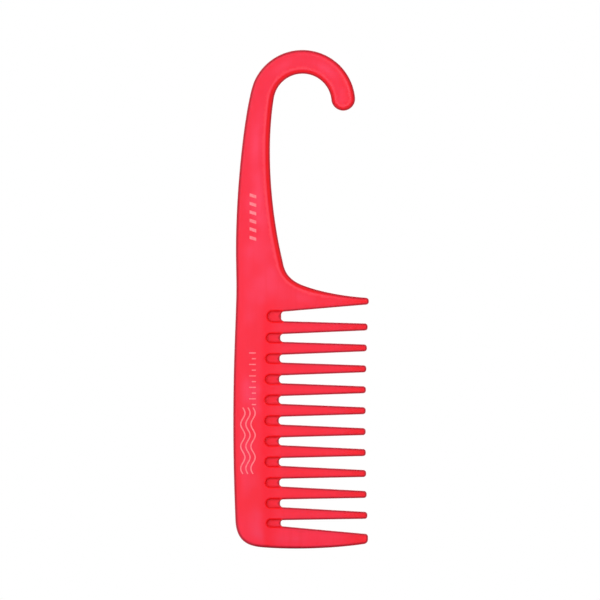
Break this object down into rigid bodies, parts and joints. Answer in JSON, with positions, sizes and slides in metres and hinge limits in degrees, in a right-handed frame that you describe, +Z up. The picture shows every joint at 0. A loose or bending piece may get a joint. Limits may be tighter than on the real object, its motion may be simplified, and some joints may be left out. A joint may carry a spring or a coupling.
{
  "type": "wide tooth comb",
  "caption": "Flat one-piece plastic comb with widely spaced tapered teeth, a heavier guard tooth at each end, and a long handle that curls into a hanging hook.",
  "frame": {"origin": "centre of the hook's inner arc, midway between the two faces: where the axis of a rail would run", "axes": "+Z up along the comb to the top of the hook, +X the way the teeth point, -Y out of the printed front face"},
  "size_m": [0.0638, 0.0051, 0.2348],
  "materials": {
    "comb_plastic": "smooth translucent coral red",
    "print_ink": "thin matt pad print, pale pink"
  },
  "bodies": {
    "root": {"hook": "comb_plastic", "handle": "comb_plastic", "shoulder": "comb_plastic", "spine": "comb_plastic", "root_bar": "comb_plastic", "guard_tooth_top": "comb_plastic", "guard_tooth_bottom": "comb_plastic", "tooth_01": "comb_plastic", "tooth_02": "comb_plastic", "tooth_03": "comb_plastic", "tooth_04": "comb_plastic", "tooth_05": "comb_plastic", "tooth_06": "comb_plastic", "tooth_07": "comb_plastic", "tooth_08": "comb_plastic", "tooth_09": "comb_plastic", "tooth_10": "comb_plastic", "root_web_01": "comb_plastic", "root_web_02": "comb_plastic", "root_web_03": "comb_plastic", "root_web_04": "comb_plastic", "root_web_05": "comb_plastic", "root_web_06": "comb_plastic", "root_web_07": "comb_plastic", "root_web_08": "comb_plastic", "root_web_09": "comb_plastic", "root_web_10": "comb_plastic", "root_web_11": "comb_plastic", "handle_print_bars": "print_ink", "spine_print_ticks": "print_ink", "spine_print_strands": "print_ink"}
  },
  "joints": []
}
